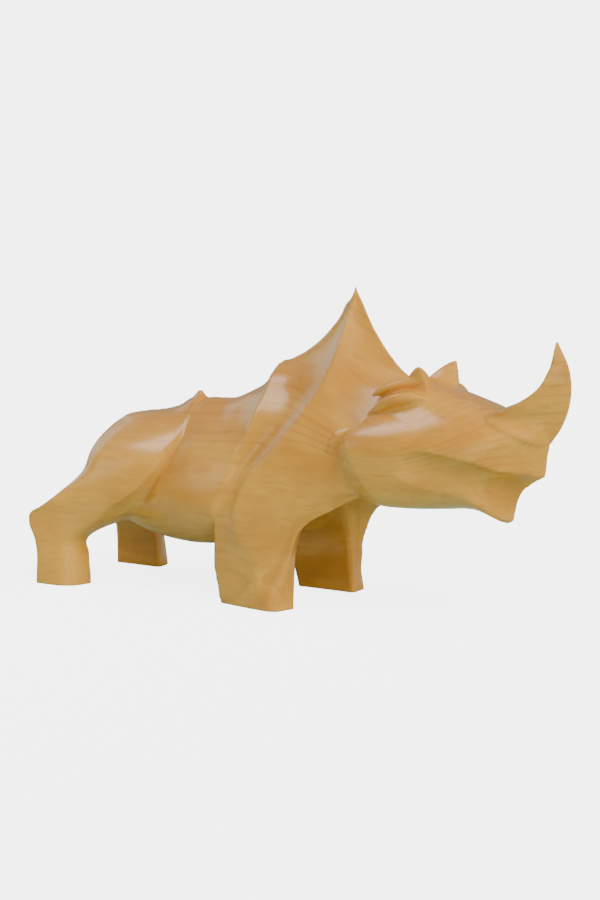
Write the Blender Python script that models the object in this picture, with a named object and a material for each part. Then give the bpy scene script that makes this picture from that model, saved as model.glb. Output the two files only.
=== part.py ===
"""Carved wooden rhinoceros, one solid standing on four flat soles.

The figure is drawn as a field of signed distances: masses bounded by upright faces that run from one
carved edge to the next, joined by sharp or soft unions, and then skinned with one corner per grid cell
so that the edges stay crisp. Everything is drawn on one side of the middle plane and mirrored.
Drawing units are shares of the height: x runs forward from midway between the fore feet, y out from
the middle plane and z up.
"""
import bpy
import numpy as np

HEIGHT = 0.236            # soles to the tip of the shoulder fin, metres
DRAWN_HEIGHT = 236.1      # the same height in drawing units
UNIT = HEIGHT / DRAWN_HEIGHT
SOLES = -1.5              # level of the soles in the drawing
MIDDLE = 15.0             # drawing x that becomes x = 0, midway along the figure
GRID = 2.5                # grid spacing of the skin, drawing units
TRIANGLES = 8200          # faces kept after the skin is simplified

# Carved edges, as stations (level, forward, out).
SHOULDER_EDGE = [(-4, -5, 60.7), (30, -5, 61), (57, -13, 62), (74, -13, 61.5), (100, -1, 57), (112, 10, 54),
                 (142, 32, 43), (166, 44, 31), (193, 50, 19), (218, 51, 6), (235.5, 53.5, 0.5), (238, 54, -1)]
BARREL_EDGE = [(-4, -33.5, 51.5), (12, -35.3, 54), (25, -36, 55.5), (44, -36, 57), (60, -36, 58.5),
               (78, -31, 59), (113, -18, 47), (144, -11, 33.5), (156, -9, 24.5), (171, -11, 12.5),
               (176, -11.5, 5), (178.6, -7.5, 0), (182, 1, 0), (189.4, 14, 0), (196.4, 23.2, 0),
               (205.3, 32.3, 0), (214.7, 39.9, 0), (220, 42.7, 0), (235.5, 51.4, 0), (238, 51.9, -1)]
BREAST_EDGE = [(-4, 1, 61), (11, 3, 61), (25, 5, 60.5), (38, 13, 58.5), (60, 29, 54.5), (84, 61, 48),
               (90, 78, 45), (100, 97, 43), (112, 100, 42), (130, 102, 39), (160, 105, 18), (179, 93, 0),
               (186, 86, 0), (204, 72, 0), (229, 58, 0), (238, 53.5, -1)]
SHIN_EDGE = [(-4, 12, 64), (5, 14, 61.5), (11, 16, 59), (25, 20.7, 54.3), (38, 26, 50.3), (53, 33, 50),
             (60, 37, 49.5), (67, 45, 47.5), (75, 60, 45), (83.5, 75, 41), (90, 88, 38), (96, 97, 36)]
TOE_EDGE = [(-4, 23.5, 58), (5, 23, 56.5), (15, 23.5, 53.5), (25, 26, 51), (38, 28.5, 48.8), (48, 32, 48.8),
            (53, 33.8, 49), (60, 38, 48.3), (67, 46, 46), (75, 61, 43.5), (83.5, 76, 39.5), (90, 90, 36),
            (96, 99, 33)]
ARCH_EDGE = [(-4, 26.7, 38.2), (22, 25.2, 37), (45, 26.5, 38), (56, 30, 38), (66, 32, 30), (79, 35, 18),
             (86, 48, 4), (92, 70, -6), (96, 85, -14)]
HIP_EDGE = [(-4, -166, 65.5), (20, -167, 62.5), (33, -166.5, 59), (50, -148, 57), (60, -137, 58),
            (68, -124, 58), (88, -101, 53), (109, -90, 42), (118, -86, 34), (127, -86, 25), (152, -88, -2)]
RUMP_EDGE = [(-4, -199, 67), (32, -201, 67), (47, -207, 68), (53, -206, 68), (60, -194.5, 67),
             (72, -179.5, 61.5), (86, -164, 55), (102, -160, 47), (118, -154, 30), (124, -151, 20),
             (129, -146, 12), (132, -128, 6), (143, -99, 1), (150, -90, 0), (152, -90, -2)]
TAIL_EDGE = [(-4, -207, 43), (20, -206, 43), (50, -200, 34), (60, -190, 22), (75, -180, 5), (90, -177, 0),
             (115, -167, 0), (125, -157, 0), (129, -148, 0), (132, -129, 0), (143, -100, 0), (152, -90, 0)]
HORN_EDGE = [(120, 222, 2), (130, 217, 5), (136, 206, 12.5), (143, 192, 19.5), (151, 179.5, 23),
             (155, 189, 21.5), (158, 196, 20), (163, 204, 17), (169, 212, 13.5), (184, 221, 7.5),
             (205.5, 224.5, 0.8), (208, 225, -1)]
# Middle line of the muzzle and the horn's keel, and of the horn's back: (level, forward).
PROW = [(60, 180), (70, 184), (74, 189.5), (79, 191), (91, 195.3), (97, 200), (102, 205.3), (105.5, 210.8),
        (108, 215), (110, 216), (113, 216.6), (125, 218), (132, 220.3), (143, 228), (155, 233.6),
        (165, 236), (176, 236.4), (188, 234), (205, 225)]
HORN_BACK = [(120, 170), (150, 172), (155, 181), (161, 195), (169, 208.3), (184, 217.6), (204, 223.5),
             (206, 224)]


def curve(at, *stations):
    """Smooth curve through the stations (place, value)."""
    place, value = (np.array(column, float) for column in zip(*sorted(stations)))
    gap = np.diff(place)
    slope = np.diff(value) / gap
    inner = (slope[1:] * gap[:-1] + slope[:-1] * gap[1:]) / (gap[1:] + gap[:-1])
    tangent = np.concatenate([slope[:1], inner, slope[-1:]])
    at = np.clip(at, place[0], place[-1])
    i = np.clip(np.searchsorted(place, at, side="right") - 1, 0, len(gap) - 1)
    u = (at - place[i]) / gap[i]
    return ((1 + 2 * u) * (1 - u)**2 * value[i] + u * (1 - u)**2 * gap[i] * tangent[i]
            + u * u * (3 - 2 * u) * value[i + 1] + u * u * (u - 1) * gap[i] * tangent[i + 1])


def edge(z, stations):
    """Where a carved edge stands at level z: forward and out."""
    return (curve(z, *((s[0], s[1]) for s in stations)), curve(z, *((s[0], s[2]) for s in stations)))


def join(a, b, soft):
    """Union of two fields, rounded over the width soft."""
    h = np.maximum(soft - np.abs(a - b), 0.0)
    return np.minimum(a, b) - h * h / (4 * np.maximum(soft, 1e-6))


def cut(a, b, soft):
    """What two fields have in common, rounded over the width soft."""
    return -join(-a, -b, soft)


def face(x, y, start, end, bow=0.0):
    """Distance outside the upright face from one edge to the next, bowed out by bow."""
    dx, dy = end[0] - start[0], end[1] - start[1]
    width = np.maximum(np.hypot(dx, dy), 1e-3)
    px, py = x - start[0], y - start[1]
    along = np.clip((px * dx + py * dy) / (width * width), 0, 1)
    return (px * dy - py * dx) / width - bow * 4 * along * (1 - along)


def loft(y, z, top, middle, bottom, half_width, power_above, power_below):
    """Rounded section between top and bottom lines that is widest at the middle line."""
    above = z > middle
    v = np.where(above, (z - middle) / (top - middle), (middle - z) / (middle - bottom))
    power = np.where(above, power_above, power_below)
    reach = (np.maximum(y / half_width, 1e-4)**power + np.abs(v)**power)**(1 / power)
    return (reach - 1) * np.minimum(half_width, np.where(above, 0.85 * (top - middle), middle - bottom))


def strand(x, y, z, *stations):
    """Round rod through the stations (forward, out, level, radius)."""
    line = None
    for a, b in zip(stations, stations[1:]):
        step = np.subtract(b[:3], a[:3])
        off = (x - a[0], y - a[1], z - a[2])
        t = np.clip(sum(o * s for o, s in zip(off, step)) / (step @ step), 0, 1)
        away = np.sqrt(sum((o - t * s)**2 for o, s in zip(off, step))) - (a[3] + t * (b[3] - a[3]))
        line = away if line is None else join(line, away, 2)
    return line


def rod(x, y, z, *stations):
    """Smooth rod that runs forward through stations (forward, out, level, radius)."""
    out, level, radius = (curve(x, *((s[0], s[k]) for s in stations)) for k in (1, 2, 3))
    past = np.maximum(stations[0][0] - x, x - stations[-1][0])
    return np.maximum(np.hypot(y - out, z - level) - radius, past)


def fore_quarter(x, y, z):
    """Shoulder plate with its fin, the groove behind it, the breast and the fore leg."""
    shoulder, barrel, breast = edge(z, SHOULDER_EDGE), edge(z, BARREL_EDGE), edge(z, BREAST_EDGE)
    shin, toe, arch = edge(z, SHIN_EDGE), edge(z, TOE_EDGE), edge(z, ARCH_EDGE)
    bow = curve(z, (0, 0.5), (60, 1.5), (100, 0.5), (150, -2), (200, -3), (234, -0.3))
    plate = face(x, y, breast, shoulder, bow)
    tucked = (barrel[0], barrel[1] - curve(z, (30, 0), (50, 1.5), (75, 3), (105, 2.5), (118, 0)))
    bow = curve(z, (25, 0), (45, -1.5), (70, -2.2), (105, -2.8), (140, -5), (180, -3), (200, -2.5),
                (234, -0.3))
    groove = face(x, y, shoulder, tucked, bow)
    mass = cut(plate, groove, curve(z, (0, 12), (22, 9), (36, 4), (48, 2.2), (60, 1.8), (120, 1.4), (234, 1)))
    # The leg's three front faces stop where the breast begins.
    over = 400 * (1 - np.clip((100 - z) / 4, 0, 1))
    shin_faces = cut(face(x, y, toe, shin) - over, face(x, y, arch, toe) - over, 1.5)
    bow = curve(z, (0, -0.3), (15, -1), (30, -2), (65, -1.8), (90, -0.6))
    mass = cut(mass, cut(face(x, y, shin, breast, bow) - over, shin_faces, 1), 1.5)
    under = 400 * np.clip((97 - z) / 3, 0, 1)
    mass = cut(mass, face(x, y, (breast[0] + 6, breast[1] - 60), breast) - under, 2)
    inside = curve(z, (0, 38.5), (22, 36), (45, 33), (60, 27), (72, 19), (82, 8), (88, -2), (100, -25),
                   (120, -60))
    mass = cut(mass, (inside - y) * curve(z, (0, 1), (60, 0.95), (80, 0.7), (88, 0.5), (120, 0.5)), 4)
    heel = (curve(z, (0, -24), (40, -29), (60, -28), (100, -20), (130, 0), (180, 30), (234, 60)),
            curve(z, (0, 37), (60, 18), (100, -2), (234, -2)))
    return cut(mass, face(x, y, barrel, heel), curve(z, (0, 1.5), (100, 1), (234, 0.2)))


def barrel_body(x, y, z):
    """Saddle and belly, hollowed in front of the hip plate and turned in behind the shoulder groove."""
    top = curve(x, (-200, 80), (-176, 114), (-160, 123), (-113, 132), (-98, 137), (-84, 144.5),
                (-67, 145.8), (-56, 146.6), (-40, 153), (-27, 160), (-19.5, 166.7), (-15, 172),
                (-12, 176.5), (-9, 178), (20, 178))
    bottom = curve(x, (-200, 70), (-169, 45), (-153, 45), (-122, 36.3), (-99, 33.5), (-78, 33.3), (-60, 35.5),
                   (-40, 42.5), (-20, 53), (0, 70), (20, 82))
    half_width = curve(x, (-200, 10), (-185, 24), (-170, 34), (-150, 42), (-120, 47), (-80, 55), (-40, 60),
                       (-15, 60), (20, 58))
    middle = curve(x, (-200, 75), (-150, 80), (-100, 76), (-60, 72), (-20, 74), (20, 90))
    power = curve(x, (-200, 1.7), (-80, 1.6), (-50, 1.55), (-20, 1.5), (-10, 1.48), (20, 1.48))
    mass = loft(y, z, top, middle, bottom, half_width, power, 2.1)
    ahead = x - edge(z, HIP_EDGE)[0]
    hollow = curve(z, (30, 0), (55, 1), (75, 3.5), (100, 4), (120, 3.5), (138, 1.5), (147, 0))
    mass = mass + hollow * np.exp(-(np.maximum(ahead - 3, 0) / 15)**2) * np.clip((ahead + 10) / 10, 0, 1)
    front = edge(z, BARREL_EDGE)
    turned_in = face(x, y, (front[0] + 8, front[1] - curve(z, (40, 5), (100, 5), (125, 2), (182, 2))), front)
    soft = curve(z, (0, 0.6), (98, 0.8), (112, 1.5), (135, 3), (160, 3), (174, 2), (182, 1))
    mass = cut(mass, turned_in, soft)
    return cut(cut(mass, x - 30, 1), -176 - x, 8)


def hind_quarter(x, y, z):
    """Hip plate with its raised front edge, the rump and the hind leg."""
    hip, rump, tail = edge(z, HIP_EDGE), edge(z, RUMP_EDGE), edge(z, TAIL_EDGE)
    flank = face(x, y, hip, rump, curve(z, (0, 1), (40, 0), (60, -2), (90, 2), (120, 4), (140, 2), (150, 0)))
    back = face(x, y, rump, tail, curve(z, (0, 1), (50, 0), (80, 4), (110, 6), (130, 3), (150, 0)))
    behind = (hip[0] + curve(z, (-4, 3), (10, 3), (22, 1.5), (33, -2), (45, 3), (60, 12), (90, 13), (150, 9)),
              hip[1] - curve(z, (0, 22), (33, 19), (50, 15), (90, 12), (150, 12)))
    front = face(x, y, behind, hip, curve(z, (0, 0), (60, -1.5), (150, -1)))
    mass = cut(flank, front, curve(z, (0, 15), (12, 15), (36, 13), (52, 6), (65, 1), (150, 0.8)))
    mass = cut(mass, back, curve(z, (0, 2), (30, 3), (50, 4), (75, 8), (100, 12), (130, 9), (150, 1)))
    inside = curve(z, (0, 42), (20, 41), (35, 37), (45, 28), (52, 16), (57, 0), (70, -30), (90, -60))
    mass = cut(mass, (inside - y) * curve(z, (0, 1), (35, 0.9), (50, 0.6), (57, 0.5), (90, 0.5)), 4)
    return cut(mass, z - 150, 0.5)


def skull(x, y, z):
    """Cheeks and muzzle with the hollow beside the mouth, cut to a prow in front."""
    top = curve(x, (60, 140), (75, 150), (95, 157), (120, 160), (140, 159), (161, 156), (188, 150),
                (200, 146), (210, 141), (218, 134), (225, 122))
    bottom = curve(x, (60, 96), (75, 86), (94, 79), (110, 77.5), (137, 78.5), (155, 80), (166, 79),
                   (176, 75.5), (186, 71.5), (200, 69), (225, 66))
    half_width = curve(x, (60, 50), (75, 54), (87, 55.5), (100, 55.5), (115, 54), (130, 51.5), (145, 48),
                       (160, 43), (175, 36), (190, 28), (205, 18), (218, 8), (225, 5))
    middle = curve(x, (60, 118), (100, 120), (130, 124), (160, 124), (190, 120), (225, 118))
    above = curve(x, (60, 2.3), (85, 2.1), (110, 2), (150, 2), (175, 2.4), (200, 2.8), (225, 2.8))
    below = curve(x, (60, 3.6), (92, 3.5), (108, 2.7), (125, 2.2), (225, 2.2))
    # Behind a slanted ridge the cheek turns in towards the neck.
    ridge = curve(z, (70, 112), (76, 109), (89, 102), (109, 90), (128.5, 78), (140, 70), (160, 58))
    turned = np.maximum(ridge - x, 0) / 25
    mass = loft(y * (1 + 0.17 * turned), z, top, middle, bottom, half_width, above, below)
    # The crisp rear edge of the cheek.
    cheek = curve(z, (76, 96), (82, 86), (89, 74), (94, 69.5), (101, 67), (112, 66), (121, 69), (130, 75),
                  (140, 83), (151, 94), (156, 101), (162, 112), (175, 125))
    mass = cut(mass, (cheek - x) * 0.85, 2.4)
    mass = join(mass, crown(x, y, z), curve(x, (60, 2), (110, 2.5), (135, 6), (160, 14), (200, 14)))
    prow = curve(z, *PROW)
    mass = cut(mass, y * 0.72 - (prow - x) * 0.69, 3)
    upper = curve(x, (118, 108), (123, 113), (126, 118), (134, 123.5), (148, 125), (159, 123), (175, 119),
                  (191, 113), (206, 110), (218, 108))
    lower = curve(x, (118, 108), (123, 107), (128, 102), (142, 97), (159, 92), (178, 83), (191, 72),
                  (218, 60))
    depth = curve(x, (118, 0), (124, 1.8), (130, 4.4), (137, 6.4), (150, 8), (175, 9.5), (195, 10.5),
                  (218, 11))
    depth = depth * np.clip((prow - x) / 24, 0, 1)**0.8 * (x > 118)
    share = np.clip((upper - z) / np.maximum(upper - lower, 1), 0, 1)
    return mass + depth * np.sin(np.pi * share**0.7) * (1 - 0.4 * share * share)


def crown(x, y, z):
    """Top of the head, with the fold that runs back from the ear."""
    top = curve(x, (85, 160), (95, 166), (110, 170), (127, 169.5), (146, 163.5), (161, 157.3), (175, 152.2),
                (188, 146.5), (200, 142), (215, 132))
    half_width = curve(x, (85, 30), (95, 35), (110, 37.5), (125, 37.5), (145, 34), (165, 26), (185, 16),
                       (200, 8))
    v = np.maximum((z - 140) / (top - 140), 0)
    power = curve(x, (85, 4.5), (112, 4.5), (122, 3), (135, 2.3), (200, 2.3))
    mass = ((np.maximum(y / half_width, 1e-4)**power + v**2.0)**(2 / (2 + power)) - 1) * 26
    rear = curve(z, (140, 84), (150, 88), (158, 90), (164, 96), (168, 102), (173, 111))
    mass = cut(mass, (rear - x) * 0.8 + (y - 28) * 0.15, 4)
    mass = cut(cut(mass, x - 200, 1), 128 - z, 2)
    # The temple swells up to a rim, where the scoop behind the ear is cut.
    temple = rod(x, y, z, (86, 35, 146, 0), (96, 36, 152, 4), (106, 37, 158, 4.5), (116, 36, 161.5, 4.5),
                 (123, 33.5, 162.5, 3.5), (131, 30, 162, 0))
    mass = join(mass, temple, 6)
    scoop = rod(x, y, z, (76, 40, 157, 4), (86, 39.5, 163.5, 6.5), (96, 38.7, 168, 7.3), (106, 38, 171, 8),
                (118, 37, 174, 8.5), (130, 35, 175.5, 8), (138, 34, 176, 5))
    rim = rod(x, y, z, (88, 33, 160, 0), (94, 32, 163.5, 2.2), (101, 30.3, 167.2, 2.8),
              (109, 28, 170, 3), (118, 24.5, 172, 3), (125, 22, 172.5, 1))
    return join(cut(mass, -scoop, 1.2), rim, 4)


def horn(x, y, z):
    """Upswept horn: two flat sides that meet in the keel, and a flat back."""
    back = (curve(z, *HORN_BACK), 0 * z)
    corner = edge(z, HORN_EDGE)
    keel = (curve(z, *PROW), 0 * z)
    flat = face(x, y, keel, corner, curve(z, (145, 0), (165, -1), (180, -0.5), (204, 0)))
    mass = cut(flat, face(x, y, corner, back), 0.8)
    return cut(cut(mass, z - 205.7, 1.5), 132 - z, 1)


def ear(x, y, z, base=160.0, height=23.5, tip=(124.4, 25.0)):
    """Four-sided ear: upright outside, with a narrow facet in front and a crisp edge on each side of it."""
    grow = (1 - np.clip((z - base) / height, 0, 1)**1.4)**0.8
    rear, outer, corner, front = ((tip[0] + (cx - tip[0]) * grow, tip[1] + (cy - tip[1]) * grow)
                                  for cx, cy in ((106, 3), (109, 24.5), (130, 21), (133, 12)))
    mass = cut(face(x, y, corner, outer, 0.8 * grow), face(x, y, outer, rear, grow), 1.5)
    mass = cut(mass, face(x, y, rear, front, 2 * grow), 1.5)
    mass = cut(mass, face(x, y, front, corner, 0.6 * grow), 0.6) - 0.8
    return cut(cut(mass, z - base - height, 2), base - 10 - z, 1)


def figure(x, y, z):
    """The whole figure; y is counted out from the middle plane."""
    body = join(barrel_body(x, y, z), hind_quarter(x, y, z), 3)
    soft = curve(z, (100, 1), (116, 3), (130, 5), (160, 5), (172, 3), (182, 1))
    body = join(body, fore_quarter(x, y, z), soft)
    keel = np.clip((curve(z, *PROW) - x) / 14, 0.02, 1)
    # A thin lip on the neck behind the cheek.
    lip = strand(x, y, z, (59.5, 46, 116, 0.4), (61, 45.4, 120.5, 1.4), (62.7, 44, 125.5, 1.9),
                 (65.7, 42, 130.5, 1.7), (72, 39.3, 134.5, 0.8))
    body = join(body, lip, 1.5)
    head = join(skull(x, y, z), horn(x, y, z), keel * curve(z, (130, 12), (142, 9), (150, 3), (156, 1.5)))
    head = join(head, ear(x, y, z), 1.5)
    return cut(join(body, head, 0.8), SOLES - z, 0.4)


def fill_pinches(field, step):
    """Fills grid corners where two surfaces would only touch along a line."""
    square = ((0, 0), (1, 0), (1, 1), (0, 1))
    for _ in range(12):
        found = 0
        for u, v in ((0, 1), (1, 2), (2, 0)):
            corners = []
            for i, j in square:
                part = [slice(None)] * 3
                part[u], part[v] = slice(i, field.shape[u] - 1 + i), slice(j, field.shape[v] - 1 + j)
                corners.append(field[tuple(part)] < 0)
            a, b, c, d = corners
            for at in np.argwhere((a == c) & (b == d) & (a != b)):
                found += 1
                around = []
                for i, j in square:
                    corner = at.copy()
                    corner[u] += i
                    corner[v] += j
                    around.append(tuple(corner))
                empty = [corner for corner in around if field[corner] >= 0]
                if empty:
                    field[min(empty, key=lambda corner: field[corner])] = -0.05 * step
        if not found:
            return


def skin(step, low=(-216, 0, -4.3), high=(246, 78, 242)):
    """Corners and four-sided faces of the figure's surface, one corner per grid cell."""
    x, y, z = (np.arange(a, b + step, step) for a, b in zip(low, high))
    half = np.concatenate([figure(part[:, None, None], y[None, :, None], z[None, None, :])
                           for part in np.array_split(x, 12)])
    field = np.concatenate([half[:, :0:-1], half], axis=1)
    fill_pinches(field, step)
    axes = (x, np.concatenate([-y[:0:-1], y]), z)
    inside = field < 0
    nx, ny, nz = inside.shape
    count = sum(inside[i:nx - 1 + i, j:ny - 1 + j, k:nz - 1 + k].astype(np.int8)
                for i in (0, 1) for j in (0, 1) for k in (0, 1))
    cells = np.argwhere((count > 0) & (count < 8))
    index = np.full((nx - 1, ny - 1, nz - 1), -1)
    index[tuple(cells.T)] = np.arange(len(cells))
    normals, offsets = np.zeros((len(cells), 3, 3)), np.zeros((len(cells), 3))
    total, hits = np.zeros((len(cells), 3)), np.zeros(len(cells))
    faces = []
    for axis in range(3):
        first, second = [slice(None)] * 3, [slice(None)] * 3
        first[axis], second[axis] = slice(0, -1), slice(1, None)
        start = np.argwhere(inside[tuple(first)] != inside[tuple(second)])
        end = start.copy()
        end[:, axis] += 1
        f0, f1 = field[tuple(start.T)], field[tuple(end.T)]
        point = np.stack([axes[n][start[:, n]] for n in range(3)], 1).astype(float)
        point[:, axis] += step * f0 / (f0 - f1)
        slope = np.empty_like(point)
        for n in range(3):
            more, less = point.copy(), point.copy()
            more[:, n] += 0.02
            less[:, n] -= 0.02
            slope[:, n] = (figure(more[:, 0], np.abs(more[:, 1]), more[:, 2])
                           - figure(less[:, 0], np.abs(less[:, 1]), less[:, 2]))
        slope /= np.maximum(np.linalg.norm(slope, axis=1, keepdims=True), 1e-9)
        u, v = (axis + 1) % 3, (axis + 2) % 3
        around = []
        for i, j in ((1, 1), (0, 1), (0, 0), (1, 0)):
            cell = start.copy()
            cell[:, u] -= i
            cell[:, v] -= j
            cell = index[tuple(cell.T)]
            around.append(cell)
            np.add.at(normals, cell, slope[:, :, None] * slope[:, None, :])
            np.add.at(offsets, cell, slope * np.sum(slope * point, 1, keepdims=True))
            np.add.at(total, cell, point)
            np.add.at(hits, cell, 1)
        quad = np.stack(around, 1)
        quad[f0 > 0] = quad[f0 > 0][:, ::-1]
        faces.append(quad)
    # Each corner goes where the tangent planes in its cell meet, and stays close to their mean.
    mean = total / hits[:, None]
    corner = np.linalg.solve(normals + 0.12 * np.eye(3), (offsets + 0.12 * mean)[:, :, None])[:, :, 0]
    move = corner - mean
    move *= np.minimum(1, 0.6 * step / np.maximum(np.linalg.norm(move, axis=1, keepdims=True), 1e-9))
    base = np.stack([axes[n][cells[:, n]] for n in range(3)], 1)
    return np.clip(mean + move, base + 0.02 * step, base + 0.98 * step), np.concatenate(faces)


def wood():
    """Pale honey-coloured wood under a clear satin finish."""
    material = bpy.data.materials.new("Lacquered maple")
    material.use_nodes = True
    shader = material.node_tree.nodes["Principled BSDF"]
    shader.inputs["Base Color"].default_value = (0.60, 0.33, 0.11, 1)
    shader.inputs["Roughness"].default_value = 0.35
    shader.inputs["Metallic"].default_value = 0.0
    shader.inputs["Coat Weight"].default_value = 0.4
    material.diffuse_color = (0.60, 0.33, 0.11, 1)
    return material


def rhinoceros(collection):
    corners, faces = skin(GRID)
    place = (corners - (MIDDLE, 0, SOLES)) * UNIT
    fine = bpy.data.meshes.new("fine skin")
    fine.from_pydata(place.tolist(), [], faces.tolist())
    piece = bpy.data.objects.new("rhinoceros", fine)
    collection.objects.link(piece)
    simplify = piece.modifiers.new("Simplify", "DECIMATE")
    simplify.ratio = min(1.0, TRIANGLES / (2 * len(faces)))
    simplify.use_symmetry = True
    simplify.symmetry_axis = "Y"
    bpy.context.view_layer.update()
    mesh = bpy.data.meshes.new_from_object(piece.evaluated_get(bpy.context.evaluated_depsgraph_get()))
    piece.modifiers.clear()
    piece.data = mesh
    bpy.data.meshes.remove(fine)
    mesh.name = "rhinoceros"
    for vertex in mesh.vertices:
        if vertex.co.z < 0.5 * UNIT:
            vertex.co.z = 0.0
    mesh.materials.clear()
    mesh.materials.append(wood())
    mesh.shade_flat()
    return piece


def main():
    for item in list(bpy.data.objects):
        bpy.data.objects.remove(item)
    collection = bpy.data.collections.new("Rhinoceros figurine")
    bpy.context.scene.collection.children.link(collection)
    rhinoceros(collection)


main()
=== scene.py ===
"""Carved wooden rhinoceros on a pale studio floor.

The carving repeats the solid's own drawing on a finer grid, so that its edges and hollows are true, and is
finished as honey-coloured maple under a clear satin lacquer. In the drawing, x runs forward from midway
between the fore feet, y out from the middle plane and z up, all as shares of the figure's height.
"""
import math

import bpy
import numpy as np
from bpy.props import FloatProperty, FloatVectorProperty, PointerProperty
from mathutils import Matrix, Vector


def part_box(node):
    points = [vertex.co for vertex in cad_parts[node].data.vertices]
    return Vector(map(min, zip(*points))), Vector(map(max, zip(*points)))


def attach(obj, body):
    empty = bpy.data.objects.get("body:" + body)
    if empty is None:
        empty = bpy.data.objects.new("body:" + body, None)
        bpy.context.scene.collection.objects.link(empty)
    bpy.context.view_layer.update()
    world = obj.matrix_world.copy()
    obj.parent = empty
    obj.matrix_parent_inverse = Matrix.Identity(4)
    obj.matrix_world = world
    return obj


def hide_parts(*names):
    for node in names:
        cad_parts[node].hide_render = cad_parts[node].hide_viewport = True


bl_info = {
    "name": "Carved rhinoceros figurine",
    "version": (1, 0, 0),
    "blender": (4, 5, 0),
    "location": "View3D > Sidebar > Figurine",
    "description": "Carves, finishes and stages a wooden rhinoceros",
    "category": "Object",
}

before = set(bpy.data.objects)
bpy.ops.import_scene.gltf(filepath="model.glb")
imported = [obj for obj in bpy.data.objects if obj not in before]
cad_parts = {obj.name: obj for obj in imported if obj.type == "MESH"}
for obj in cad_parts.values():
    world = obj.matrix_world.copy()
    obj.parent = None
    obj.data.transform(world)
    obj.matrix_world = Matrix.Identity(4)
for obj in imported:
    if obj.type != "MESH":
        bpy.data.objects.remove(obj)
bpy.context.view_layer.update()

DRAWN_HEIGHT = 236.1      # soles to the tip of the shoulder fin in the drawing
DRAWING_UNITS = 1000      # in a metre of grid spacing
SOLE_BAND = 0.0005        # corners below this height lie on the soles
PITH = (0.0, 0.035, -0.02)          # the growth rings' centre line passes here
PITH_TILT = (0.0, 0.06, -0.04)
DIP_PLACE = 0.090         # where the grain dips lowest
DIP_WIDTH = 0.058
DIP_DEPTH = 0.045
DIP_LEVELS = (0.085, 0.15)          # the dip fades in between these heights
RING_SHARE = 0.34         # how strongly each mark of the grain shows
FIBRE_SHARE = 0.22
FLECK_SHARE = 0.25
WOOD_ROUGHNESS = (0.36, 0.44)
WOOD_SPECULAR = 0.15
LACQUER_ROUGHNESS = 0.21
LACQUER_IOR = 1.5
FIBRE_RELIEF = 0.0002     # height of the fibres in the bump, metres
FIBRE_BUMP = 0.08
LOOKED_AT = (-0.0117, 0.0, 0.1124)    # middle of the photograph, at the figure
CAMERA_AZIMUTH = 35.0
CAMERA_ELEVATION = 7.9
SENSOR = 36.0             # height of the camera's sensor, millimetres
KEY_AZIMUTH = 74.0
KEY_ELEVATION = 32.0
KEY_COLOUR = (1.0, 0.97, 0.94)
# Name, azimuth and elevation in degrees, distance, size, brightness, colour.
SOFT_BOXES = [
    ("Upper box", -50, 56, 1.6, (0.66, 0.74), 6.6, (1.0, 0.93, 0.91)),
    ("Side box", -46, 21, 1.8, (0.50, 0.60), 1.5, (1.0, 0.96, 0.93)),
    ("Low box", 32, 4, 2.6, (0.70, 0.80), 1.6, (1.0, 0.95, 0.90)),
    ("Rear box", -104, 20, 2.2, (1.2, 1.0), 0.9, (0.88, 1.0, 0.96)),
]

SOLES = -1.5              # level of the soles in the drawing
MIDDLE = 15.0             # drawing x that becomes x = 0, midway along the figure
# Carved edges, as stations (level, forward, out).
SHOULDER_EDGE = [(-4, -5, 60.7), (30, -5, 61), (57, -13, 62), (74, -13, 61.5), (100, -1, 57), (112, 10, 54),
                 (142, 32, 43), (166, 44, 31), (193, 50, 19), (218, 51, 6), (235.5, 53.5, 0.5), (238, 54, -1)]
BARREL_EDGE = [(-4, -33.5, 51.5), (12, -35.3, 54), (25, -36, 55.5), (44, -36, 57), (60, -36, 58.5),
               (78, -31, 59), (113, -18, 47), (144, -11, 33.5), (156, -9, 24.5), (171, -11, 12.5),
               (176, -11.5, 5), (178.6, -7.5, 0), (182, 1, 0), (189.4, 14, 0), (196.4, 23.2, 0),
               (205.3, 32.3, 0), (214.7, 39.9, 0), (220, 42.7, 0), (235.5, 51.4, 0), (238, 51.9, -1)]
BREAST_EDGE = [(-4, 1, 61), (11, 3, 61), (25, 5, 60.5), (38, 13, 58.5), (60, 29, 54.5), (84, 61, 48),
               (90, 78, 45), (100, 97, 43), (112, 100, 42), (130, 102, 39), (160, 105, 18), (179, 93, 0),
               (186, 86, 0), (204, 72, 0), (229, 58, 0), (238, 53.5, -1)]
SHIN_EDGE = [(-4, 12, 64), (5, 14, 61.5), (11, 16, 59), (25, 20.7, 54.3), (38, 26, 50.3), (53, 33, 50),
             (60, 37, 49.5), (67, 45, 47.5), (75, 60, 45), (83.5, 75, 41), (90, 88, 38), (96, 97, 36)]
TOE_EDGE = [(-4, 23.5, 58), (5, 23, 56.5), (15, 23.5, 53.5), (25, 26, 51), (38, 28.5, 48.8), (48, 32, 48.8),
            (53, 33.8, 49), (60, 38, 48.3), (67, 46, 46), (75, 61, 43.5), (83.5, 76, 39.5), (90, 90, 36),
            (96, 99, 33)]
ARCH_EDGE = [(-4, 26.7, 38.2), (22, 25.2, 37), (45, 26.5, 38), (56, 30, 38), (66, 32, 30), (79, 35, 18),
             (86, 48, 4), (92, 70, -6), (96, 85, -14)]
HIP_EDGE = [(-4, -166, 65.5), (20, -167, 62.5), (33, -166.5, 59), (50, -148, 57), (60, -137, 58),
            (68, -124, 58), (88, -101, 53), (109, -90, 42), (118, -86, 34), (127, -86, 25), (152, -88, -2)]
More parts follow.
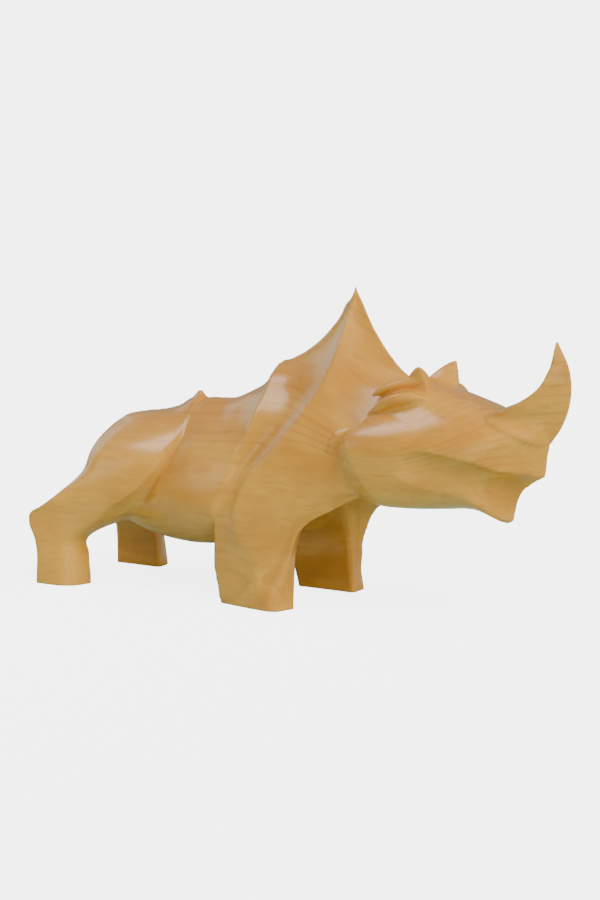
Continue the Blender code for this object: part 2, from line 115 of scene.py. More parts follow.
RUMP_EDGE = [(-4, -199, 67), (32, -201, 67), (47, -207, 68), (53, -206, 68), (60, -194.5, 67),
             (72, -179.5, 61.5), (86, -164, 55), (102, -160, 47), (118, -154, 30), (124, -151, 20),
             (129, -146, 12), (132, -128, 6), (143, -99, 1), (150, -90, 0), (152, -90, -2)]
TAIL_EDGE = [(-4, -207, 43), (20, -206, 43), (50, -200, 34), (60, -190, 22), (75, -180, 5), (90, -177, 0),
             (115, -167, 0), (125, -157, 0), (129, -148, 0), (132, -129, 0), (143, -100, 0), (152, -90, 0)]
HORN_EDGE = [(120, 222, 2), (130, 217, 5), (136, 206, 12.5), (143, 192, 19.5), (151, 179.5, 23),
             (155, 189, 21.5), (158, 196, 20), (163, 204, 17), (169, 212, 13.5), (184, 221, 7.5),
             (205.5, 224.5, 0.8), (208, 225, -1)]
# Middle line of the muzzle and the horn's keel, and of the horn's back: (level, forward).
PROW = [(60, 180), (70, 184), (74, 189.5), (79, 191), (91, 195.3), (97, 200), (102, 205.3), (105.5, 210.8),
        (108, 215), (110, 216), (113, 216.6), (125, 218), (132, 220.3), (143, 228), (155, 233.6),
        (165, 236), (176, 236.4), (188, 234), (205, 225)]
HORN_BACK = [(120, 170), (150, 172), (155, 181), (161, 195), (169, 208.3), (184, 217.6), (204, 223.5),
             (206, 224)]


def curve(at, *stations):
    """Smooth curve through the stations (place, value)."""
    place, value = (np.array(column, float) for column in zip(*sorted(stations)))
    gap = np.diff(place)
    slope = np.diff(value) / gap
    inner = (slope[1:] * gap[:-1] + slope[:-1] * gap[1:]) / (gap[1:] + gap[:-1])
    tangent = np.concatenate([slope[:1], inner, slope[-1:]])
    at = np.clip(at, place[0], place[-1])
    i = np.clip(np.searchsorted(place, at, side="right") - 1, 0, len(gap) - 1)
    u = (at - place[i]) / gap[i]
    return ((1 + 2 * u) * (1 - u)**2 * value[i] + u * (1 - u)**2 * gap[i] * tangent[i]
            + u * u * (3 - 2 * u) * value[i + 1] + u * u * (u - 1) * gap[i] * tangent[i + 1])


def edge(z, stations):
    """Where a carved edge stands at level z: forward and out."""
    return (curve(z, *((s[0], s[1]) for s in stations)), curve(z, *((s[0], s[2]) for s in stations)))


def join(a, b, soft):
    """Union of two fields, rounded over the width soft."""
    h = np.maximum(soft - np.abs(a - b), 0.0)
    return np.minimum(a, b) - h * h / (4 * np.maximum(soft, 1e-6))


def cut(a, b, soft):
    """What two fields have in common, rounded over the width soft."""
    return -join(-a, -b, soft)


def face(x, y, start, end, bow=0.0):
    """Distance outside the upright face from one edge to the next, bowed out by bow."""
    dx, dy = end[0] - start[0], end[1] - start[1]
    width = np.maximum(np.hypot(dx, dy), 1e-3)
    px, py = x - start[0], y - start[1]
    along = np.clip((px * dx + py * dy) / (width * width), 0, 1)
    return (px * dy - py * dx) / width - bow * 4 * along * (1 - along)


def loft(y, z, top, middle, bottom, half_width, power_above, power_below):
    """Rounded section between top and bottom lines that is widest at the middle line."""
    above = z > middle
    v = np.where(above, (z - middle) / (top - middle), (middle - z) / (middle - bottom))
    power = np.where(above, power_above, power_below)
    reach = (np.maximum(y / half_width, 1e-4)**power + np.abs(v)**power)**(1 / power)
    return (reach - 1) * np.minimum(half_width, np.where(above, 0.85 * (top - middle), middle - bottom))


def strand(x, y, z, *stations):
    """Round rod through the stations (forward, out, level, radius)."""
    line = None
    for a, b in zip(stations, stations[1:]):
        step = np.subtract(b[:3], a[:3])
        off = (x - a[0], y - a[1], z - a[2])
        t = np.clip(sum(o * s for o, s in zip(off, step)) / (step @ step), 0, 1)
        away = np.sqrt(sum((o - t * s)**2 for o, s in zip(off, step))) - (a[3] + t * (b[3] - a[3]))
        line = away if line is None else join(line, away, 2)
    return line


def rod(x, y, z, *stations):
    """Smooth rod that runs forward through stations (forward, out, level, radius)."""
    out, level, radius = (curve(x, *((s[0], s[k]) for s in stations)) for k in (1, 2, 3))
    past = np.maximum(stations[0][0] - x, x - stations[-1][0])
    return np.maximum(np.hypot(y - out, z - level) - radius, past)


def fore_quarter(x, y, z):
    """Shoulder plate with its fin, the groove behind it, the breast and the fore leg."""
    shoulder, barrel, breast = edge(z, SHOULDER_EDGE), edge(z, BARREL_EDGE), edge(z, BREAST_EDGE)
    shin, toe, arch = edge(z, SHIN_EDGE), edge(z, TOE_EDGE), edge(z, ARCH_EDGE)
    bow = curve(z, (0, 0.5), (60, 1.5), (100, 0.5), (150, -2), (200, -3), (234, -0.3))
    plate = face(x, y, breast, shoulder, bow)
    tucked = (barrel[0], barrel[1] - curve(z, (30, 0), (50, 1.5), (75, 3), (105, 2.5), (118, 0)))
    bow = curve(z, (25, 0), (45, -1.5), (70, -2.2), (105, -2.8), (140, -5), (180, -3), (200, -2.5),
                (234, -0.3))
    groove = face(x, y, shoulder, tucked, bow)
    mass = cut(plate, groove, curve(z, (0, 12), (22, 9), (36, 4), (48, 2.2), (60, 1.8), (120, 1.4), (234, 1)))
    # The leg's three front faces stop where the breast begins.
    over = 400 * (1 - np.clip((100 - z) / 4, 0, 1))
    shin_faces = cut(face(x, y, toe, shin) - over, face(x, y, arch, toe) - over, 1.5)
    bow = curve(z, (0, -0.3), (15, -1), (30, -2), (65, -1.8), (90, -0.6))
    mass = cut(mass, cut(face(x, y, shin, breast, bow) - over, shin_faces, 1), 1.5)
    under = 400 * np.clip((97 - z) / 3, 0, 1)
    mass = cut(mass, face(x, y, (breast[0] + 6, breast[1] - 60), breast) - under, 2)
    inside = curve(z, (0, 38.5), (22, 36), (45, 33), (60, 27), (72, 19), (82, 8), (88, -2), (100, -25),
                   (120, -60))
    mass = cut(mass, (inside - y) * curve(z, (0, 1), (60, 0.95), (80, 0.7), (88, 0.5), (120, 0.5)), 4)
    heel = (curve(z, (0, -24), (40, -29), (60, -28), (100, -20), (130, 0), (180, 30), (234, 60)),
            curve(z, (0, 37), (60, 18), (100, -2), (234, -2)))
    return cut(mass, face(x, y, barrel, heel), curve(z, (0, 1.5), (100, 1), (234, 0.2)))


def barrel_body(x, y, z):
    """Saddle and belly, hollowed in front of the hip plate and turned in behind the shoulder groove."""
    top = curve(x, (-200, 80), (-176, 114), (-160, 123), (-113, 132), (-98, 137), (-84, 144.5),
                (-67, 145.8), (-56, 146.6), (-40, 153), (-27, 160), (-19.5, 166.7), (-15, 172),
                (-12, 176.5), (-9, 178), (20, 178))
    bottom = curve(x, (-200, 70), (-169, 45), (-153, 45), (-122, 36.3), (-99, 33.5), (-78, 33.3), (-60, 35.5),
                   (-40, 42.5), (-20, 53), (0, 70), (20, 82))
    half_width = curve(x, (-200, 10), (-185, 24), (-170, 34), (-150, 42), (-120, 47), (-80, 55), (-40, 60),
                       (-15, 60), (20, 58))
    middle = curve(x, (-200, 75), (-150, 80), (-100, 76), (-60, 72), (-20, 74), (20, 90))
    power = curve(x, (-200, 1.7), (-80, 1.6), (-50, 1.55), (-20, 1.5), (-10, 1.48), (20, 1.48))
    mass = loft(y, z, top, middle, bottom, half_width, power, 2.1)
    ahead = x - edge(z, HIP_EDGE)[0]
    hollow = curve(z, (30, 0), (55, 1), (75, 3.5), (100, 4), (120, 3.5), (138, 1.5), (147, 0))
    mass = mass + hollow * np.exp(-(np.maximum(ahead - 3, 0) / 15)**2) * np.clip((ahead + 10) / 10, 0, 1)
    front = edge(z, BARREL_EDGE)
    turned_in = face(x, y, (front[0] + 8, front[1] - curve(z, (40, 5), (100, 5), (125, 2), (182, 2))), front)
    soft = curve(z, (0, 0.6), (98, 0.8), (112, 1.5), (135, 3), (160, 3), (174, 2), (182, 1))
    mass = cut(mass, turned_in, soft)
    return cut(cut(mass, x - 30, 1), -176 - x, 8)


def hind_quarter(x, y, z):
    """Hip plate with its raised front edge, the rump and the hind leg."""
    hip, rump, tail = edge(z, HIP_EDGE), edge(z, RUMP_EDGE), edge(z, TAIL_EDGE)
    flank = face(x, y, hip, rump, curve(z, (0, 1), (40, 0), (60, -2), (90, 2), (120, 4), (140, 2), (150, 0)))
    back = face(x, y, rump, tail, curve(z, (0, 1), (50, 0), (80, 4), (110, 6), (130, 3), (150, 0)))
    behind = (hip[0] + curve(z, (-4, 3), (10, 3), (22, 1.5), (33, -2), (45, 3), (60, 12), (90, 13), (150, 9)),
              hip[1] - curve(z, (0, 22), (33, 19), (50, 15), (90, 12), (150, 12)))
    front = face(x, y, behind, hip, curve(z, (0, 0), (60, -1.5), (150, -1)))
    mass = cut(flank, front, curve(z, (0, 15), (12, 15), (36, 13), (52, 6), (65, 1), (150, 0.8)))
    mass = cut(mass, back, curve(z, (0, 2), (30, 3), (50, 4), (75, 8), (100, 12), (130, 9), (150, 1)))
    inside = curve(z, (0, 42), (20, 41), (35, 37), (45, 28), (52, 16), (57, 0), (70, -30), (90, -60))
    mass = cut(mass, (inside - y) * curve(z, (0, 1), (35, 0.9), (50, 0.6), (57, 0.5), (90, 0.5)), 4)
    return cut(mass, z - 150, 0.5)


def skull(x, y, z):
    """Cheeks and muzzle with the hollow beside the mouth, cut to a prow in front."""
    top = curve(x, (60, 140), (75, 150), (95, 157), (120, 160), (140, 159), (161, 156), (188, 150),
                (200, 146), (210, 141), (218, 134), (225, 122))
    bottom = curve(x, (60, 96), (75, 86), (94, 79), (110, 77.5), (137, 78.5), (155, 80), (166, 79),
                   (176, 75.5), (186, 71.5), (200, 69), (225, 66))
    half_width = curve(x, (60, 50), (75, 54), (87, 55.5), (100, 55.5), (115, 54), (130, 51.5), (145, 48),
                       (160, 43), (175, 36), (190, 28), (205, 18), (218, 8), (225, 5))
    middle = curve(x, (60, 118), (100, 120), (130, 124), (160, 124), (190, 120), (225, 118))
    above = curve(x, (60, 2.3), (85, 2.1), (110, 2), (150, 2), (175, 2.4), (200, 2.8), (225, 2.8))
    below = curve(x, (60, 3.6), (92, 3.5), (108, 2.7), (125, 2.2), (225, 2.2))
    # Behind a slanted ridge the cheek turns in towards the neck.
    ridge = curve(z, (70, 112), (76, 109), (89, 102), (109, 90), (128.5, 78), (140, 70), (160, 58))
    turned = np.maximum(ridge - x, 0) / 25
    mass = loft(y * (1 + 0.17 * turned), z, top, middle, bottom, half_width, above, below)
    # The crisp rear edge of the cheek.
    cheek = curve(z, (76, 96), (82, 86), (89, 74), (94, 69.5), (101, 67), (112, 66), (121, 69), (130, 75),
                  (140, 83), (151, 94), (156, 101), (162, 112), (175, 125))
    mass = cut(mass, (cheek - x) * 0.85, 2.4)
    mass = join(mass, crown(x, y, z), curve(x, (60, 2), (110, 2.5), (135, 6), (160, 14), (200, 14)))
    prow = curve(z, *PROW)
    mass = cut(mass, y * 0.72 - (prow - x) * 0.69, 3)
    upper = curve(x, (118, 108), (123, 113), (126, 118), (134, 123.5), (148, 125), (159, 123), (175, 119),
                  (191, 113), (206, 110), (218, 108))
    lower = curve(x, (118, 108), (123, 107), (128, 102), (142, 97), (159, 92), (178, 83), (191, 72),
                  (218, 60))
    depth = curve(x, (118, 0), (124, 1.8), (130, 4.4), (137, 6.4), (150, 8), (175, 9.5), (195, 10.5),
                  (218, 11))
    depth = depth * np.clip((prow - x) / 24, 0, 1)**0.8 * (x > 118)
    share = np.clip((upper - z) / np.maximum(upper - lower, 1), 0, 1)
    return mass + depth * np.sin(np.pi * share**0.7) * (1 - 0.4 * share * share)


def crown(x, y, z):
    """Top of the head, with the fold that runs back from the ear."""
    top = curve(x, (85, 160), (95, 166), (110, 170), (127, 169.5), (146, 163.5), (161, 157.3), (175, 152.2),
                (188, 146.5), (200, 142), (215, 132))
    half_width = curve(x, (85, 30), (95, 35), (110, 37.5), (125, 37.5), (145, 34), (165, 26), (185, 16),
                       (200, 8))
    v = np.maximum((z - 140) / (top - 140), 0)
    power = curve(x, (85, 4.5), (112, 4.5), (122, 3), (135, 2.3), (200, 2.3))
    mass = ((np.maximum(y / half_width, 1e-4)**power + v**2.0)**(2 / (2 + power)) - 1) * 26
    rear = curve(z, (140, 84), (150, 88), (158, 90), (164, 96), (168, 102), (173, 111))
    mass = cut(mass, (rear - x) * 0.8 + (y - 28) * 0.15, 4)
    mass = cut(cut(mass, x - 200, 1), 128 - z, 2)
    # The temple swells up to a rim, where the scoop behind the ear is cut.
    temple = rod(x, y, z, (86, 35, 146, 0), (96, 36, 152, 4), (106, 37, 158, 4.5), (116, 36, 161.5, 4.5),
                 (123, 33.5, 162.5, 3.5), (131, 30, 162, 0))
    mass = join(mass, temple, 6)
    scoop = rod(x, y, z, (76, 40, 157, 4), (86, 39.5, 163.5, 6.5), (96, 38.7, 168, 7.3), (106, 38, 171, 8),
                (118, 37, 174, 8.5), (130, 35, 175.5, 8), (138, 34, 176, 5))
    rim = rod(x, y, z, (88, 33, 160, 0), (94, 32, 163.5, 2.2), (101, 30.3, 167.2, 2.8),
              (109, 28, 170, 3), (118, 24.5, 172, 3), (125, 22, 172.5, 1))
    return join(cut(mass, -scoop, 1.2), rim, 4)


def horn(x, y, z):
    """Upswept horn: two flat sides that meet in the keel, and a flat back."""
    back = (curve(z, *HORN_BACK), 0 * z)
    corner = edge(z, HORN_EDGE)
    keel = (curve(z, *PROW), 0 * z)
    flat = face(x, y, keel, corner, curve(z, (145, 0), (165, -1), (180, -0.5), (204, 0)))
    mass = cut(flat, face(x, y, corner, back), 0.8)
    return cut(cut(mass, z - 205.7, 1.5), 132 - z, 1)


def ear(x, y, z, base=160.0, height=23.5, tip=(124.4, 25.0)):
    """Four-sided ear: upright outside, with a narrow facet in front and a crisp edge on each side of it."""
    grow = (1 - np.clip((z - base) / height, 0, 1)**1.4)**0.8
    rear, outer, corner, front = ((tip[0] + (cx - tip[0]) * grow, tip[1] + (cy - tip[1]) * grow)
                                  for cx, cy in ((106, 3), (109, 24.5), (130, 21), (133, 12)))
    mass = cut(face(x, y, corner, outer, 0.8 * grow), face(x, y, outer, rear, grow), 1.5)
    mass = cut(mass, face(x, y, rear, front, 2 * grow), 1.5)
    mass = cut(mass, face(x, y, front, corner, 0.6 * grow), 0.6) - 0.8
    return cut(cut(mass, z - base - height, 2), base - 10 - z, 1)


def figure(x, y, z):
    """The whole figure; y is counted out from the middle plane."""
    body = join(barrel_body(x, y, z), hind_quarter(x, y, z), 3)
    soft = curve(z, (100, 1), (116, 3), (130, 5), (160, 5), (172, 3), (182, 1))
    body = join(body, fore_quarter(x, y, z), soft)
    keel = np.clip((curve(z, *PROW) - x) / 14, 0.02, 1)
    # A thin lip on the neck behind the cheek.
    lip = strand(x, y, z, (59.5, 46, 116, 0.4), (61, 45.4, 120.5, 1.4), (62.7, 44, 125.5, 1.9),
                 (65.7, 42, 130.5, 1.7), (72, 39.3, 134.5, 0.8))
    body = join(body, lip, 1.5)
    head = join(skull(x, y, z), horn(x, y, z), keel * curve(z, (130, 12), (142, 9), (150, 3), (156, 1.5)))
    head = join(head, ear(x, y, z), 1.5)
    return cut(join(body, head, 0.8), SOLES - z, 0.4)


def fill_pinches(field, step):
    """Fills grid corners where two surfaces would only touch along a line."""
    square = ((0, 0), (1, 0), (1, 1), (0, 1))
    for _ in range(12):
        found = 0
        for u, v in ((0, 1), (1, 2), (2, 0)):
            corners = []
            for i, j in square:
                part = [slice(None)] * 3
                part[u], part[v] = slice(i, field.shape[u] - 1 + i), slice(j, field.shape[v] - 1 + j)
                corners.append(field[tuple(part)] < 0)
            a, b, c, d = corners
            for at in np.argwhere((a == c) & (b == d) & (a != b)):
                found += 1
                around = []
                for i, j in square:
                    corner = at.copy()
                    corner[u] += i
                    corner[v] += j
                    around.append(tuple(corner))
                empty = [corner for corner in around if field[corner] >= 0]
                if empty:
                    field[min(empty, key=lambda corner: field[corner])] = -0.05 * step
        if not found:
            return


def skin(step, low=(-216, 0, -4.3), high=(246, 78, 242)):
    """Corners and four-sided faces of the figure's surface, one corner per grid cell."""
    x, y, z = (np.arange(a, b + step, step) for a, b in zip(low, high))
    half = np.concatenate([figure(part[:, None, None], y[None, :, None], z[None, None, :])
                           for part in np.array_split(x, 12)])
    field = np.concatenate([half[:, :0:-1], half], axis=1)
    fill_pinches(field, step)
    axes = (x, np.concatenate([-y[:0:-1], y]), z)
    inside = field < 0
    nx, ny, nz = inside.shape
    count = sum(inside[i:nx - 1 + i, j:ny - 1 + j, k:nz - 1 + k].astype(np.int8)
                for i in (0, 1) for j in (0, 1) for k in (0, 1))
    cells = np.argwhere((count > 0) & (count < 8))
    index = np.full((nx - 1, ny - 1, nz - 1), -1)
    index[tuple(cells.T)] = np.arange(len(cells))
    normals, offsets = np.zeros((len(cells), 3, 3)), np.zeros((len(cells), 3))
    total, hits = np.zeros((len(cells), 3)), np.zeros(len(cells))
    faces = []
    for axis in range(3):
        first, second = [slice(None)] * 3, [slice(None)] * 3
        first[axis], second[axis] = slice(0, -1), slice(1, None)
        start = np.argwhere(inside[tuple(first)] != inside[tuple(second)])
        end = start.copy()
        end[:, axis] += 1
        f0, f1 = field[tuple(start.T)], field[tuple(end.T)]
        point = np.stack([axes[n][start[:, n]] for n in range(3)], 1).astype(float)
        point[:, axis] += step * f0 / (f0 - f1)
        slope = np.empty_like(point)
        for n in range(3):
            more, less = point.copy(), point.copy()
            more[:, n] += 0.02
            less[:, n] -= 0.02
            slope[:, n] = (figure(more[:, 0], np.abs(more[:, 1]), more[:, 2])
                           - figure(less[:, 0], np.abs(less[:, 1]), less[:, 2]))
        slope /= np.maximum(np.linalg.norm(slope, axis=1, keepdims=True), 1e-9)
        u, v = (axis + 1) % 3, (axis + 2) % 3
        around = []
        for i, j in ((1, 1), (0, 1), (0, 0), (1, 0)):
            cell = start.copy()
            cell[:, u] -= i
            cell[:, v] -= j
            cell = index[tuple(cell.T)]
            around.append(cell)
            np.add.at(normals, cell, slope[:, :, None] * slope[:, None, :])
            np.add.at(offsets, cell, slope * np.sum(slope * point, 1, keepdims=True))
            np.add.at(total, cell, point)
            np.add.at(hits, cell, 1)
        quad = np.stack(around, 1)
        quad[f0 > 0] = quad[f0 > 0][:, ::-1]
        faces.append(quad)
    # Each corner goes where the tangent planes in its cell meet, and stays close to their mean.
    mean = total / hits[:, None]
    corner = np.linalg.solve(normals + 0.12 * np.eye(3), (offsets + 0.12 * mean)[:, :, None])[:, :, 0]
    move = corner - mean
    move *= np.minimum(1, 0.6 * step / np.maximum(np.linalg.norm(move, axis=1, keepdims=True), 1e-9))
    base = np.stack([axes[n][cells[:, n]] for n in range(3)], 1)
    return np.clip(mean + move, base + 0.02 * step, base + 0.98 * step), np.concatenate(faces)


# Finish

def new_group(name, inputs, outputs):
    """Shader node group with named sockets, ready to be filled."""
    group = bpy.data.node_groups.new(name, "ShaderNodeTree")
    for socket, kind, value in inputs:
        made = group.interface.new_socket(socket, in_out="INPUT", socket_type=kind)
        if value is not None:
            made.default_value = value
    for socket, kind in outputs:
        group.interface.new_socket(socket, in_out="OUTPUT", socket_type=kind)
    return group


def add(tree, kind, **settings):
    """New node in the tree. Settings that name an input set its value, the others set the node itself."""
    node = tree.nodes.new(kind)
    for key, value in settings.items():
        if hasattr(node, key):
            setattr(node, key, value)
        else:
            node.inputs[key.replace("_", " ")].default_value = value
    return node


def maths(tree, operation, a, b=0.5, clamp=False):
    """Math node on two sockets or numbers. Gives its output."""
    node = add(tree, "ShaderNodeMath", operation=operation, use_clamp=clamp)
    for i, value in enumerate((a, b)):
        if isinstance(value, bpy.types.NodeSocket):
            tree.links.new(value, node.inputs[i])
        else:
            node.inputs[i].default_value = value
    return node.outputs[0]


def blend_colour(tree, factor, a, b, mode="MIX"):
    """Mix of two colours, each a socket or a value. Gives its output."""
    node = add(tree, "ShaderNodeMix", data_type="RGBA", blend_type=mode)
    for socket, value in ((node.inputs[0], factor), (node.inputs[6], a), (node.inputs[7], b)):
        if isinstance(value, bpy.types.NodeSocket):
            tree.links.new(value, socket)
        else:
            socket.default_value = value
    return node.outputs[2]


def ramp(tree, factor, *stops):
    """Grey ramp through (place, value) stops. Gives its output."""
    node = add(tree, "ShaderNodeMapRange", interpolation_type="SMOOTHSTEP")
    (low, a), (high, b) = stops
    for name, value in (("From Min", low), ("From Max", high), ("To Min", a), ("To Max", b)):
        node.inputs[name].default_value = value
    tree.links.new(factor, node.inputs["Value"])
    return node.outputs["Result"]


def opaque(colour):
    """The colour with an alpha of one."""
    return tuple(colour) + (1,)


def grain_group():
    """Growth rings round a pith that runs the length of the block, and fine fibres along it."""
    inputs = [("Ring Spacing", "NodeSocketFloat", 0.007), ("Wander", "NodeSocketFloat", 0.01)]
    outputs = [(name, "NodeSocketFloat") for name in ("Rings", "Fibres", "Clouds", "Flecks")]
    tree = new_group("Maple grain", inputs, outputs)
    source, sink = add(tree, "NodeGroupInput"), add(tree, "NodeGroupOutput")
    here = add(tree, "ShaderNodeSeparateXYZ")
    tree.links.new(add(tree, "ShaderNodeTexCoord").outputs["Object"], here.inputs[0])

    # The grain runs along the block and dips between the fin and the muzzle.
    off = maths(tree, "DIVIDE", maths(tree, "SUBTRACT", here.outputs["X"], DIP_PLACE), DIP_WIDTH)
    dip = maths(tree, "POWER", math.e, maths(tree, "MULTIPLY", maths(tree, "MULTIPLY", off, off), -1))
    deepens = ramp(tree, here.outputs["Z"], (DIP_LEVELS[0], 0.0), (DIP_LEVELS[1], DIP_DEPTH))
    dip = maths(tree, "MULTIPLY", dip, deepens)
    straight = add(tree, "ShaderNodeCombineXYZ")
    tree.links.new(here.outputs["X"], straight.inputs["X"])
    tree.links.new(here.outputs["Y"], straight.inputs["Y"])
    tree.links.new(maths(tree, "ADD", here.outputs["Z"], dip), straight.inputs["Z"])
    place = straight.outputs["Vector"]

    def moved(scale, location=(0, 0, 0), rotation=(0, 0, 0)):
        node = add(tree, "ShaderNodeMapping", Scale=scale, Location=location, Rotation=rotation)
        tree.links.new(place, node.inputs["Vector"])
        return node.outputs["Vector"]

    def noise(vector, scale, detail, roughness=0.5, distortion=0.0):
        node = add(tree, "ShaderNodeTexNoise", Scale=scale, Detail=detail, Roughness=roughness,
                   Distortion=distortion)
        tree.links.new(vector, node.inputs["Vector"])
        return node.outputs["Fac"]

    # Distance from the pith, bent by slow noise that is drawn out along the block.
    bend = maths(tree, "SUBTRACT", noise(moved((4.0, 9, 9)), 1.6, 2), 0.5)
    parts = add(tree, "ShaderNodeSeparateXYZ")
    tree.links.new(moved((1, 1, 1), PITH, PITH_TILT), parts.inputs[0])
    across = maths(tree, "POWER", parts.outputs["Y"], 2)
    upward = maths(tree, "POWER", parts.outputs["Z"], 2)
    radius = maths(tree, "SQRT", maths(tree, "ADD", across, upward))
    radius = maths(tree, "ADD", radius, maths(tree, "MULTIPLY", bend, source.outputs["Wander"]))
    turn = maths(tree, "FRACT", maths(tree, "DIVIDE", radius, source.outputs["Ring Spacing"]))
    # Each ring darkens slowly and ends in a thin late-wood line.
    late = ramp(tree, turn, (0.50, 0.0), (0.95, 1.0))
    line = ramp(tree, turn, (0.95, 1.0), (1.0, 0.0))
    rings = maths(tree, "MULTIPLY", late, line)
    strength = noise(moved((3, 16, 16), (0.3, 0, 0)), 2.2, 2)
    rings = maths(tree, "MULTIPLY", rings, ramp(tree, strength, (0.42, 0.1), (0.66, 1.0)))
    fibres = noise(moved((10, 420, 420)), 1.0, 3, 0.6)
    clouds = noise(moved((7, 13, 13)), 2.2, 3, 0.55)
    flecks = noise(moved((24, 190, 190)), 1.0, 2, 0.5)
    for name, value in (("Rings", rings), ("Fibres", fibres), ("Clouds", clouds),
                        ("Flecks", ramp(tree, flecks, (0.60, 0.0), (0.74, 1.0)))):
        tree.links.new(value, sink.inputs[name])
    return tree


def lacquered_maple(finish):
    """Honey-coloured maple under a clear satin lacquer."""
    material = bpy.data.materials.new("Lacquered maple")
    material.use_nodes = True
    tree = material.node_tree
    shader = tree.nodes["Principled BSDF"]
    grain = add(tree, "ShaderNodeGroup")
    grain.node_tree = grain_group()
    grain.inputs["Ring Spacing"].default_value = finish.ring_spacing
    grain.inputs["Wander"].default_value = finish.ring_wander
    pale, deep, late, rose = map(opaque, (finish.pale, finish.deep, finish.late_wood, finish.rose))
    patches = ramp(tree, grain.outputs["Clouds"], (0.35, 0.0), (0.66, 1.0))
    streaks = ramp(tree, grain.outputs["Fibres"], (0.42, 0.0), (0.70, 1.0))
    colour = blend_colour(tree, patches, pale, deep)
    colour = blend_colour(tree, maths(tree, "MULTIPLY", grain.outputs["Rings"], RING_SHARE), colour, late)
    colour = blend_colour(tree, maths(tree, "MULTIPLY", streaks, FIBRE_SHARE), colour, rose)
    colour = blend_colour(tree, maths(tree, "MULTIPLY", grain.outputs["Flecks"], FLECK_SHARE), colour, late)
    tree.links.new(colour, shader.inputs["Base Color"])
    roughness = ramp(tree, grain.outputs["Fibres"], (0.3, WOOD_ROUGHNESS[0]), (0.7, WOOD_ROUGHNESS[1]))
    tree.links.new(roughness, shader.inputs["Roughness"])
    shader.inputs["Metallic"].default_value = 0.0
    shader.inputs["Coat Weight"].default_value = finish.lacquer
    shader.inputs["Coat Roughness"].default_value = LACQUER_ROUGHNESS
    shader.inputs["Specular IOR Level"].default_value = WOOD_SPECULAR
    shader.inputs["Coat IOR"].default_value = LACQUER_IOR
    bump = add(tree, "ShaderNodeBump", Strength=FIBRE_BUMP, Distance=FIBRE_RELIEF)
    tree.links.new(grain.outputs["Fibres"], bump.inputs["Height"])
    tree.links.new(bump.outputs["Normal"], shader.inputs["Normal"])
    return material


# Pieces

def smooth_mesh(name, places, faces):
    """Smooth-shaded mesh object from corners in metres and faces."""
    mesh = bpy.data.meshes.new(name)
    mesh.from_pydata(places.tolist(), [], faces.tolist())
    mesh.shade_smooth()
    piece = bpy.data.objects.new(name, mesh)
    bpy.context.scene.collection.objects.link(piece)
    return piece


def carved_figure(settings):
    """The carving, cut again from its drawing on a finer grid than the solid's."""
    corners, faces = skin(settings.grid * DRAWING_UNITS)
    low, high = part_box("rhinoceros")
    unit = (high[2] - low[2]) / DRAWN_HEIGHT
    places = (corners - (MIDDLE, 0, SOLES)) * unit
    piece = smooth_mesh("carved_rhinoceros", places, faces)
    for vertex in piece.data.vertices:
        if vertex.co.z < SOLE_BAND:
            vertex.co.z = low[2]
    piece.data.materials.append(lacquered_maple(settings))
    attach(piece, "root")
    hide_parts("rhinoceros")
    return piece


# Stage

def soft_light(name, place, target, size, power, colour):
    """Rectangular soft box that faces its target."""
    lamp = bpy.data.lights.new(name, "AREA")
    lamp.shape, lamp.size, lamp.size_y = "RECTANGLE", size[0], size[1]
    lamp.energy, lamp.color = power, colour
    holder = bpy.data.objects.new(name, lamp)
    holder.location = place
    holder.rotation_euler = (Vector(target) - Vector(place)).to_track_quat("-Z", "Y").to_euler()
    bpy.context.scene.collection.objects.link(holder)
    return holder


def around(target, azimuth, elevation, distance):
    """Place seen from the target at that azimuth and elevation in degrees. Azimuth 0 is on the -Y side."""
    a, e = math.radians(azimuth), math.radians(elevation)
    return Vector(target) + distance * Vector((math.sin(a) * math.cos(e), -math.cos(a) * math.cos(e),
                                               math.sin(e)))


def studio_floor(stage):
    """Wide pale floor that stands in for the sweep under the figure."""
    bpy.ops.mesh.primitive_plane_add(size=stage.floor_width, location=(0, 0, 0))
    floor = bpy.context.object
    floor.name = "studio_floor"
    material = bpy.data.materials.new("Pale floor")
    material.use_nodes = True
    tree = material.node_tree
    shader = tree.nodes["Principled BSDF"]
    shader.inputs["Roughness"].default_value = 0.9
    shader.inputs["Specular IOR Level"].default_value = 0.1
    # Seen directly the floor is pale and glows. It throws less light up at the figure.
    seen = add(tree, "ShaderNodeLightPath").outputs["Is Camera Ray"]
    colour = blend_colour(tree, seen, opaque(stage.floor_bounce), opaque(stage.floor_colour))
    tree.links.new(colour, shader.inputs["Base Color"])
    shader.inputs["Emission Color"].default_value = opaque(stage.floor_colour)
    tree.links.new(maths(tree, "MULTIPLY", seen, stage.floor_glow), shader.inputs["Emission Strength"])
    floor.data.materials.append(material)
    return floor


